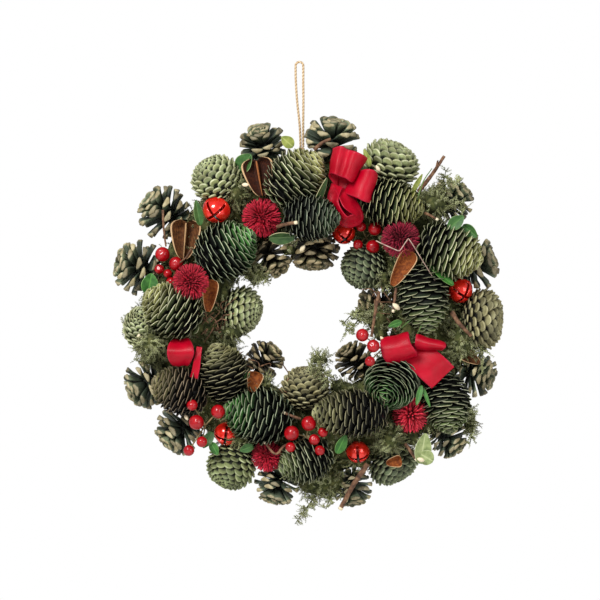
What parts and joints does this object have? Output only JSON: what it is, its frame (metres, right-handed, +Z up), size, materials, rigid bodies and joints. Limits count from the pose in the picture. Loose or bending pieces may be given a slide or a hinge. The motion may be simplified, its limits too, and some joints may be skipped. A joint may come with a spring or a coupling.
{
  "type": "fresh evergreen wreath",
  "caption": "Hanging wreath of green pine cones on a mossy vine ring, with berries, jingle bells, dried flower heads, seed pods and satin ribbon, on a twine loop.",
  "frame": {"origin": "the point inside the top of the twine loop where a hook carries the wreath", "axes": "+Z up, -Y to the front that is looked at, +Y to the wall behind, +X to the right as seen from the front"},
  "size_m": [0.3636, 0.0947, 0.4202],
  "materials": {
    "vine": "rough bark",
    "moss": "matte, fine sprigs",
    "twine": "matte twisted jute",
    "open_cone": "matte weathered scales with pale tips",
    "round_cone": "matte sage-green scales",
    "long_cone": "satin dark green scales with pale rims",
    "bell": "glossy metallic red",
    "flower_head": "matte dyed bristles",
    "seed_pod": "matte fibrous, pale rim",
    "ribbon": "satin weave sheen",
    "berry": "glossy lacquer"
  },
  "bodies": {
    "root": {"vine_ring": "vine", "moss_bed": "moss", "twine_collar": "twine", "hanging_loop": "twine", "open_cone_01": "open_cone", "open_cone_02": "open_cone", "open_cone_03": "open_cone", "open_cone_04": "open_cone", "open_cone_05": "open_cone", "open_cone_06": "open_cone", "open_cone_07": "open_cone", "open_cone_08": "open_cone", "open_cone_09": "open_cone", "open_cone_10": "open_cone", "open_cone_11": "open_cone", "open_cone_12": "open_cone", "open_cone_13": "open_cone", "open_cone_14": "open_cone", "round_cone_01": "round_cone", "round_cone_02": "round_cone", "round_cone_03": "round_cone", "round_cone_04": "round_cone", "round_cone_05": "round_cone", "round_cone_06": "round_cone", "round_cone_07": "round_cone", "round_cone_08": "round_cone", "long_cone_01": "long_cone", "long_cone_02": "long_cone", "long_cone_03": "long_cone", "long_cone_04": "long_cone", "long_cone_05": "long_cone", "long_cone_06": "long_cone", "long_cone_07": "long_cone", "long_cone_08": "long_cone", "long_cone_09": "long_cone", "long_cone_10": "long_cone", "long_cone_11": "long_cone", "long_cone_12": "long_cone", "long_cone_13": "long_cone", "long_cone_14": "long_cone", "jingle_bell_01": "bell", "jingle_bell_02": "bell", "jingle_bell_03": "bell", "jingle_bell_04": "bell", "jingle_bell_05": "bell", "flower_head_01": "flower_head", "flower_head_02": "flower_head", "flower_head_03": "flower_head", "flower_head_04": "flower_head", "flower_head_05": "flower_head", "seed_pod_01": "seed_pod", "seed_pod_02": "seed_pod", "ribbon_01": "ribbon", "ribbon_02": "ribbon", "ribbon_03": "ribbon", "berry_spray_01": "berry", "berry_spray_02": "berry", "berry_spray_03": "berry", "berry_spray_04": "berry", "berry_spray_05": "berry"}
  },
  "joints": []
}
